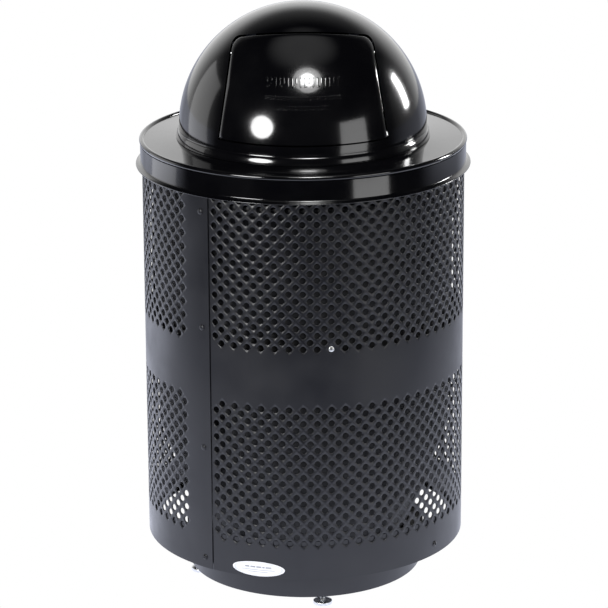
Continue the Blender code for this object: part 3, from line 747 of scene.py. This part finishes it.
def make_liner():
    """A tub with a steep foot, a nearly straight body with moulded grooves, and a rolled rim."""
    low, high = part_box("liner")
    corner, edge, soft = LINER_CORNER, LINER_EDGE, LINER_SOFT
    floor, foot_r, rim = low.z + LINER_T, LINER_BOTTOM_R - LINER_T - corner, LINER_TOP_R + LINER_RIM
    hook, under_rim = rim - LINER_T, high.z - LINER_T
    profile = [(0.0, floor), (foot_r, floor)] + arc(foot_r, floor + corner, corner, -90, 0, 8)[1:]
    profile += [(LINER_SHOULDER_R - LINER_T - 0.0004, LINER_SHOULDER - 0.004)]
    profile += [(LINER_SHOULDER_R - LINER_T + 0.0002, LINER_SHOULDER + 0.004)]
    profile += [(LINER_TOP_R - LINER_T, high.z - soft), (LINER_TOP_R - LINER_T + soft, high.z)]
    profile += arc(rim - edge, high.z - edge, edge, 90, 0, 5)
    profile += arc(rim - LINER_T / 2, high.z - LINER_RIM_HEM, LINER_T / 2, 0, -180, 6)
    profile += [(hook, under_rim - soft), (hook - soft, under_rim)]
    profile += [(LINER_TOP_R + soft, under_rim), (LINER_TOP_R, under_rim - soft)]
    slope = (LINER_TOP_R - LINER_SHOULDER_R) / (high.z - LINER_SHOULDER)
    for height in LINER_GROOVES:
        radius = LINER_SHOULDER_R + slope * (height - LINER_SHOULDER)
        profile += [(radius + slope * up + out, height + up) for up, out in GROOVE]
    profile.append((LINER_SHOULDER_R, LINER_SHOULDER))
    profile += arc(LINER_BOTTOM_R - corner, low.z + corner, corner, 0, -90, 8) + [(0.0, low.z)]
    piece("liner_tub", *turned(profile, MEDIUM, closed=False), PLASTIC, "liner", ["liner"])


# --- lid --------------------------------------------------------------------------------------------
def make_lid_plate():
    """A flat ring with a collar that the dome fits over and a hem rolled outwards and under."""
    collar, collar_top = DOME_R - DOME_T - COLLAR_PLAY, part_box("lid_plate")[1].z
    bend, under = COLLAR_BEND, LID_TOP - LID_T
    lift = math.degrees(math.asin((LID_TOP - HEM_CENTRE) / HEM_R))
    drop = math.degrees(math.asin((under - HEM_CENTRE) / HEM_R))
    profile = [(collar - LID_T, collar_top), (collar, collar_top), (collar, LID_TOP + LID_CROWN + bend)]
    profile += arc(collar + bend, LID_TOP + LID_CROWN + bend, bend, 180, 270, 5)[1:]
    profile += arc(HEM_RING_R, HEM_CENTRE, HEM_R, 180 - lift, -180 - drop, 28)
    profile.append((collar - LID_T, under + LID_CROWN))
    piece("lid_plate_pressed", *turned(profile, FINE), GLOSS, "lid", ["lid_plate"])


def make_lid_skirt():
    """A straight skirt whose foot flares out to a rounded lip."""
    top, inner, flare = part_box("lid_skirt")[1].z, SKIRT_R - SKIRT_T, LIP_Z + LIP_RISE
    profile = [(inner, top), (SKIRT_R, top), (SKIRT_R, flare)]
    profile += arc(SKIRT_R + FLARE_R, flare, FLARE_R, 180, 250, 6)[1:]
    profile += [(LIP_R - 0.0012, LIP_Z + 0.0009)]
    profile += arc(LIP_R - LIP_EDGE, LIP_Z - 0.0001, LIP_EDGE, 80, -100, 6)
    profile += [(SKIRT_R + 0.0015, LIP_Z + 0.0008)]
    profile += arc(inner + FLARE_BACK_R, flare - 0.0004, FLARE_BACK_R, 240, 180, 5)
    piece("lid_skirt_flared", *turned(profile, FINE), GLOSS, "lid", ["lid_skirt"])


def door_outline(gap):
    """The door's outline seen from the front, as (x, height above the sphere's centre), moved in by gap."""
    top = DOOR_TOP - gap
    shoulder_x, shoulder_z = DOOR_HALF_TOP - gap, DOOR_SHOULDER - gap
    half, low = DOOR_HALF_BOTTOM - gap, DOOR_BOTTOM + gap
    crown = [k / 10 for k in range(-7, 8)]
    corners = [(-half, low, DOOR_BOTTOM_CORNER), (-shoulder_x, shoulder_z, DOOR_TOP_CORNER)]
    corners += [(s * shoulder_x, top - DOOR_TOP_DROP * (s * shoulder_x) ** 2, 0.0) for s in crown]
    corners += [(shoulder_x, shoulder_z, DOOR_TOP_CORNER), (half, low, DOOR_BOTTOM_CORNER)]
    return even_spacing(rounded(corners, 12), OUTLINE_STEPS)


def rounded(corners, count):
    """A polygon from (x, z, radius) corners, each with its tip replaced by a tangent arc."""
    outline = []
    for i, (x, z, radius) in enumerate(corners):
        if radius == 0.0:
            outline.append((x, z))
            continue
        ends = []
        for other in (corners[i - 1], corners[(i + 1) % len(corners)]):
            length = math.hypot(other[0] - x, other[1] - z)
            ends.append(((other[0] - x) / length, (other[1] - z) / length))
        half_angle = math.acos(ends[0][0] * ends[1][0] + ends[0][1] * ends[1][1]) / 2
        reach = radius / math.tan(half_angle)
        middle = (ends[0][0] + ends[1][0], ends[0][1] + ends[1][1])
        scale = radius / math.sin(half_angle) / math.hypot(*middle)
        center = (x + middle[0] * scale, z + middle[1] * scale)
        start = math.atan2(z + ends[0][1] * reach - center[1], x + ends[0][0] * reach - center[0])
        end = math.atan2(z + ends[1][1] * reach - center[1], x + ends[1][0] * reach - center[0])
        turn = (end - start + math.pi) % math.tau - math.pi
        outline += [(center[0] + radius * math.cos(start + turn * k / count),
                     center[1] + radius * math.sin(start + turn * k / count)) for k in range(count + 1)]
    return outline


def even_spacing(outline, count):
    """The same closed outline with its points evenly spread along it."""
    lengths = [0.0]
    for i in range(len(outline)):
        a, b = outline[i], outline[(i + 1) % len(outline)]
        lengths.append(lengths[-1] + math.hypot(b[0] - a[0], b[1] - a[1]))
    spaced, i = [], 0
    for k in range(count):
        want = lengths[-1] * k / count
        while lengths[i + 1] < want:
            i += 1
        share = (want - lengths[i]) / max(lengths[i + 1] - lengths[i], 1e-12)
        a, b = outline[i], outline[(i + 1) % len(outline)]
        spaced.append((a[0] + (b[0] - a[0]) * share, a[1] + (b[1] - a[1]) * share))
    return spaced


def on_dome(x, z, radius):
    """The point on the front of a ball round the dome's centre that shows at (x, z) from the front."""
    return Vector((x, -math.sqrt(max(radius * radius - x * x - z * z, 0.0)), z))


def make_dome():
    """The dome runs along great circles from the door opening to its foot, then the band, then back inside."""
    inner = DOME_R - DOME_T
    bead_low, bead_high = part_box("dome")[0].z - DOME_Z, DOME_BEAD_TOP - DOME_Z
    axis = Vector((0.0, -math.cos(DOOR_TILT), math.sin(DOOR_TILT)))
    top_lean, bottom_lean = math.radians(BAND_LEAN[0]), math.radians(BAND_LEAN[1])
    center_x = DOME_BEAD_R - BAND_CURVE_R * math.cos(bottom_lean)
    center_z = bead_low + BAND_EDGE - BAND_CURVE_R * math.sin(bottom_lean)
    shoulder_x = center_x + BAND_CURVE_R * math.cos(top_lean)
    bead = [(DOME_R, bead_high + DOME_FILLET), (DOME_R + DOME_FILLET / 2, bead_high)]
    bead += [(shoulder_x - 0.0007, bead_high - 0.0001)]
    bead += arc(center_x, center_z, BAND_CURVE_R, BAND_LEAN[0], BAND_LEAN[1], 8)
    bead += [(DOME_BEAD_R - 0.0005, bead_low), (inner, bead_low)]
    feet = []
    outline = door_outline(0.0)
    for x, z in outline:
        rows_here = {}
        for outside, radius in ((True, DOME_R), (False, inner)):
            start = on_dome(x, z, radius) / radius
            across_axis = (start - axis * start.dot(axis)).normalized()
            begin = math.acos(max(-1.0, min(1.0, start.dot(axis))))
            end = math.atan2(across_axis.z, axis.z) + math.pi / 2
            path = []
            for k in range(DOME_ROWS + 1):
                angle = begin + (end - begin) * k / DOME_ROWS
                path.append((axis * math.cos(angle) + across_axis * math.sin(angle)) * radius)
            rows_here[outside] = path
        foot = rows_here[True][-1]
        azimuth = math.atan2(foot.x, -foot.y)
        skirt = [Vector((r * math.sin(azimuth), -r * math.cos(azimuth), z)) for r, z in bead]
        feet.append(rows_here[True] + skirt + list(reversed(rows_here[False])))
    row_count = len(feet[0])
    points = []
    for row in range(row_count):
        points += [tuple(column[row] + Vector((0.0, 0.0, DOME_Z))) for column in feet]
    piece("dome_spun", points, grid_faces(row_count, len(outline), True, True), GLOSS, "lid", ["dome"], 30.0)


def door_skin():
    """The door's curved panel, ring by ring from its middle to its outline, outside and then inside."""
    outline = door_outline(DOOR_GAP)
    soft = 0.0004
    middle = (0.0, (DOOR_BOTTOM + DOOR_TOP) / 2)
    shares = [k / DOOR_ROWS for k in range(DOOR_ROWS)]
    rings = [(share, DOME_R, 0.0) for share in shares]
    rings += [(1.0, DOME_R, soft), (1.0, DOME_R - soft, 0.0), (1.0, DOME_R - DOME_T + soft, 0.0)]
    rings += [(1.0, DOME_R - DOME_T, soft)] + [(share, DOME_R - DOME_T, 0.0) for share in reversed(shares)]
    points = []
    for share, radius, inset in rings:
        for x, z in outline:
            dx, dz = x - middle[0], z - middle[1]
            share_here = share - inset / math.hypot(dx, dz)
            point = on_dome(middle[0] + dx * share_here, middle[1] + dz * share_here, radius)
            points.append((point.x, point.y, point.z + DOME_Z))
    return points, grid_faces(len(rings), len(outline), False, True)


def door_mark(left, right, low, high):
    """A raised stroke with round ends on the door's face, given as it shows from the front."""
    rise, soft, steps = 0.0011, 0.0007, 6
    radius = min(right - left, high - low) / 2
    rings = [(1.0, -0.0004), (1.0, rise - soft), (1.0 - 0.5 * soft / radius, rise - 0.2 * soft), (0.0, rise)]
    points = []
    for share, lift in rings:
        for k in range(4 * steps):
            angle = math.tau * (k + 0.5) / (4 * steps)
            across, up = math.cos(angle), math.sin(angle)
            x = (right - radius if across > 0.0 else left + radius) + share * radius * across
            z = (high - radius if up > 0.0 else low + radius) + share * radius * up
            point = on_dome(x, z, DOME_R + lift)
            points.append((point.x, point.y, point.z + DOME_Z))
    return points, grid_faces(4, 4 * steps, False, True) + [tuple(range(4 * steps))]


def door_marks():
    """Three rows of plain raised strokes and bars where the real door has wording."""
    marks = []
    for height, tall, half, width, gap in MARK_ROWS:
        count = int((2 * half + gap) / (width + gap))
        start = -(count * (width + gap) - gap) / 2
        for k in range(count):
            left = start + k * (width + gap)
            low = height - tall / 2 + (tall / 3 if k % 3 == 1 else 0.0)
            marks.append(door_mark(left, left + width, low, height + tall / 2))
            if k % 3 == 0:
                foot = height - tall / 2
                marks.append(door_mark(left, left + width * 1.9, foot, foot + width * 0.8))
    return marks


def ear_outlines():
    """The ear seen from the side: round at the rod, with a neck to the door's panel, and the rod's hole."""
    wall = math.sqrt((DOME_R - DOME_T / 2) ** 2 - EAR_X**2)
    centre = Vector((HINGE[1], HINGE[2] - DOME_Z))
    neck = Vector((-math.sin(NECK_ANGLE), math.cos(NECK_ANGLE))) * wall
    along = Vector((neck.y, -neck.x)).normalized() * NECK_HALF_W
    away = math.degrees(math.atan2((neck - centre).y, (neck - centre).x))
    disc = arc(centre.x, centre.y, EAR_R, away + 75, away + 285, 24)
    ends = sorted((neck + along, neck - along), key=lambda end: (end - Vector(disc[-1])).length)
    hole = arc(centre.x, centre.y, ROD_HOLE_R, 0, 345, 23)
    return [disc + [tuple(end) for end in ends], hole]


def make_door():
    parts = [door_skin()]
    upright = Matrix(((0, 0, 1, 0), (1, 0, 0, 0), (0, 1, 0, 0), (0, 0, 0, 1)))
    for side in (-1, 1):
        place = Matrix.Translation((side * EAR_X, 0.0, DOME_Z)) @ upright
        parts.append(plate("ear", ear_outlines(), EAR_T, place, EAR_EDGE))
    parts += door_marks()
    points, faces = joined(parts)
    piece("door_panel", points, faces, GLOSS, "door", ["door"])


def make_spring(side, name):
    """A torsion spring round the rod: one leg runs back to the dome, the other ends beside the door's ear."""
    points = []
    for i in range(SPRING_TURNS * SPRING_STEPS + 1):
        angle = math.tau * i / SPRING_STEPS
        x = (i / SPRING_STEPS - SPRING_TURNS / 2) * SPRING_PITCH
        points.append((x, SPRING_COIL_R * math.cos(angle), SPRING_COIL_R * math.sin(angle)))
    first, last = points[0], points[-1]
    points.insert(0, (first[0], first[1], first[2] + SPRING_LONG_LEG))
    points.append((last[0], last[1], last[2] - SPRING_SHORT_LEG))
    curve = bpy.data.curves.new(f"door_spring_{name}_wire", "CURVE")
    curve.dimensions = "3D"
    curve.bevel_depth = SPRING_WIRE_R
    curve.bevel_resolution = 3
    curve.use_fill_caps = True
    spline = curve.splines.new("POLY")
    spline.points.add(len(points) - 1)
    for point, (x, y, z) in zip(spline.points, points):
        point.co = (side * (SPRING_X + x), HINGE[1] + y, HINGE[2] + z, 1.0)
    wire = bpy.data.objects.new(curve.name, curve)
    bpy.context.scene.collection.objects.link(wire)
    curve.materials.append(WIRE)
    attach(wire, "lid")
    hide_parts(f"door_spring_{name}")


def finish_cad_nodes():
    """CAD nodes whose shape is right keep it and take a finish."""
    looks = {"foot_ring": SATIN, "base_pan": SATIN, "hinge_rod": ZINC}
    for side in ("left", "right"):
        looks |= {f"hinge_bracket_{side}": SATIN, f"door_stop_{side}": SATIN}
    for name, look in looks.items():
        node = frame["nodes"][name]
        node.data.materials.clear()
        node.data.materials.append(look)


# --- stage ------------------------------------------------------------------------------------------
def camera_only(tree, seen, lit):
    """Chooses one shader for what the camera sees directly and another for the light that reaches the bin."""
    path = tree.nodes.new("ShaderNodeLightPath")
    mix = tree.nodes.new("ShaderNodeMixShader")
    tree.links.new(path.outputs["Is Camera Ray"], mix.inputs["Fac"])
    tree.links.new(lit, mix.inputs[1])
    tree.links.new(seen, mix.inputs[2])
    return mix.outputs["Shader"]


def ramp(tree, value, start, end, low, high):
    """A smooth step of a value."""
    return spread(tree, value, low, high, start, end, "SMOOTHSTEP")


def arithmetic(tree, operation, first, second):
    node = tree.nodes.new("ShaderNodeMath")
    node.operation = operation
    tree.links.new(first, node.inputs[0])
    tree.links.new(second, node.inputs[1])
    return node.outputs["Value"]


def backdrop(tree, place, glows):
    """Light of the studio by direction: bright behind the bin, with a glow from each side, dark in front.
    Returns it with the sine of the direction's elevation."""
    unit = tree.nodes.new("ShaderNodeVectorMath")
    unit.operation = "NORMALIZE"
    tree.links.new(place, unit.inputs[0])
    total = None
    for azimuth, start, end, strength in glows:
        toward = tree.nodes.new("ShaderNodeVectorMath")
        toward.operation = "DOT_PRODUCT"
        angle = math.radians(azimuth)
        toward.inputs[1].default_value = (math.sin(angle), -math.cos(angle), 0.0)
        tree.links.new(unit.outputs["Vector"], toward.inputs[0])
        light = ramp(tree, toward.outputs["Value"], start, end, WORLD_FRONT, strength)
        total = light if total is None else arithmetic(tree, "MAXIMUM", total, light)
    parts = tree.nodes.new("ShaderNodeSeparateXYZ")
    tree.links.new(unit.outputs["Vector"], parts.inputs["Vector"])
    return total, parts.outputs["Z"]


def make_world():
    world = bpy.data.worlds.new("studio")
    world.use_nodes = True
    tree = world.node_tree
    tree.nodes.clear()
    place = tree.nodes.new("ShaderNodeTexCoord")
    around, up = backdrop(tree, place.outputs["Generated"], WALL_GLOWS)
    walls = arithmetic(tree, "MULTIPLY", around, ramp(tree, up, *WALL_FADE, 1.0, WORLD_TOP))
    light = arithmetic(tree, "MAXIMUM", walls, ramp(tree, up, *CEILING, 0.0, OVERHEAD))
    lit = tree.nodes.new("ShaderNodeBackground")
    tree.links.new(light, lit.inputs["Strength"])
    seen = tree.nodes.new("ShaderNodeBackground")
    seen.inputs["Color"].default_value = (1.0, 1.0, 1.0, 1.0)
    output = tree.nodes.new("ShaderNodeOutputWorld")
    tree.links.new(camera_only(tree, seen.outputs[0], lit.outputs[0]), output.inputs["Surface"])
    bpy.context.scene.world = world


def make_floor():
    """A white disc: bright under and behind the bin, and falling into the dark in front of it."""
    made = bpy.data.materials.new("floor")
    made.use_nodes = True
    tree = made.node_tree
    tree.nodes.clear()
    place = tree.nodes.new("ShaderNodeTexCoord")
    length = tree.nodes.new("ShaderNodeVectorMath")
    length.operation = "LENGTH"
    squeeze = tree.nodes.new("ShaderNodeVectorMath")
    squeeze.operation = "MULTIPLY"
    squeeze.inputs[1].default_value = FLOOR_SQUEEZE
    tree.links.new(place.outputs["Object"], squeeze.inputs[0])
    tree.links.new(squeeze.outputs["Vector"], length.inputs[0])
    near = ramp(tree, length.outputs["Value"], FLOOR_NEAR_R, FLOOR_FAR_R, FLOOR_NEAR, 0.0)
    around = backdrop(tree, place.outputs["Object"], FLOOR_GLOWS)[0]
    fade_start, fade_end, remnant = FLOOR_FADE
    fade = ramp(tree, length.outputs["Value"], fade_start, fade_end, 1.0, remnant)
    far = arithmetic(tree, "MULTIPLY", around, fade)
    lit = tree.nodes.new("ShaderNodeEmission")
    lit.inputs["Color"].default_value = FLOOR_TINT
    tree.links.new(arithmetic(tree, "MAXIMUM", near, far), lit.inputs["Strength"])
    seen = tree.nodes.new("ShaderNodeEmission")
    seen.inputs["Strength"].default_value = 1.0
    output = tree.nodes.new("ShaderNodeOutputMaterial")
    tree.links.new(camera_only(tree, seen.outputs[0], lit.outputs[0]), output.inputs["Surface"])
    shape = bmesh.new()
    bmesh.ops.create_circle(shape, cap_ends=True, segments=128, radius=FLOOR_R)
    mesh = bpy.data.meshes.new("floor")
    shape.to_mesh(mesh)
    shape.free()
    mesh.materials.append(made)
    floor = bpy.data.objects.new("floor", mesh)
    floor.location.z = CAD_LOW.z - 0.0005
    bpy.context.scene.collection.objects.link(floor)


def softbox(name, azimuth, elevation, distance, width, height, power, shape):
    """An area light that faces the dome's centre from a direction given in degrees."""
    light = bpy.data.lights.new(name, "AREA")
    light.shape = shape
    light.size = width
    light.size_y = height
    light.energy = power
    lamp = bpy.data.objects.new(name, light)
    lamp.visible_camera = False
    a, e = math.radians(azimuth), math.radians(elevation)
    out = Vector((math.sin(a) * math.cos(e), -math.cos(a) * math.cos(e), math.sin(e)))
    lamp.location = Vector((0.0, 0.0, DOME_Z)) + out * distance
    lamp.rotation_mode = "QUATERNION"
    lamp.rotation_quaternion = out.to_track_quat("Z", "Y")
    bpy.context.scene.collection.objects.link(lamp)


def make_camera():
    camera = bpy.data.objects.new("camera", bpy.data.cameras.new("camera"))
    camera.data.lens = CAMERA_LENS
    camera.data.sensor_width = 36.0
    camera.data.clip_end = 60.0
    pitch = Matrix.Rotation(math.radians(90.0 - CAMERA_PITCH), 4, "X")
    roll = Matrix.Rotation(math.radians(CAMERA_ROLL), 4, "Z")
    camera.matrix_world = Matrix.Translation((0.0, -CAMERA_DISTANCE, CAMERA_HEIGHT)) @ pitch @ roll
    bpy.context.scene.collection.objects.link(camera)
    bpy.context.scene.camera = camera
    bpy.context.scene.view_settings.view_transform = "Standard"


make_camera()
make_drum()
make_rim_ring()
make_plinth()
make_feet()
make_fasteners()
make_label()
make_liner()
make_lid_plate()
make_lid_skirt()
make_dome()
make_door()
make_spring(-1, "left")
make_spring(1, "right")
finish_cad_nodes()
make_world()
make_floor()
for lamp in LAMPS:
    softbox(*lamp)
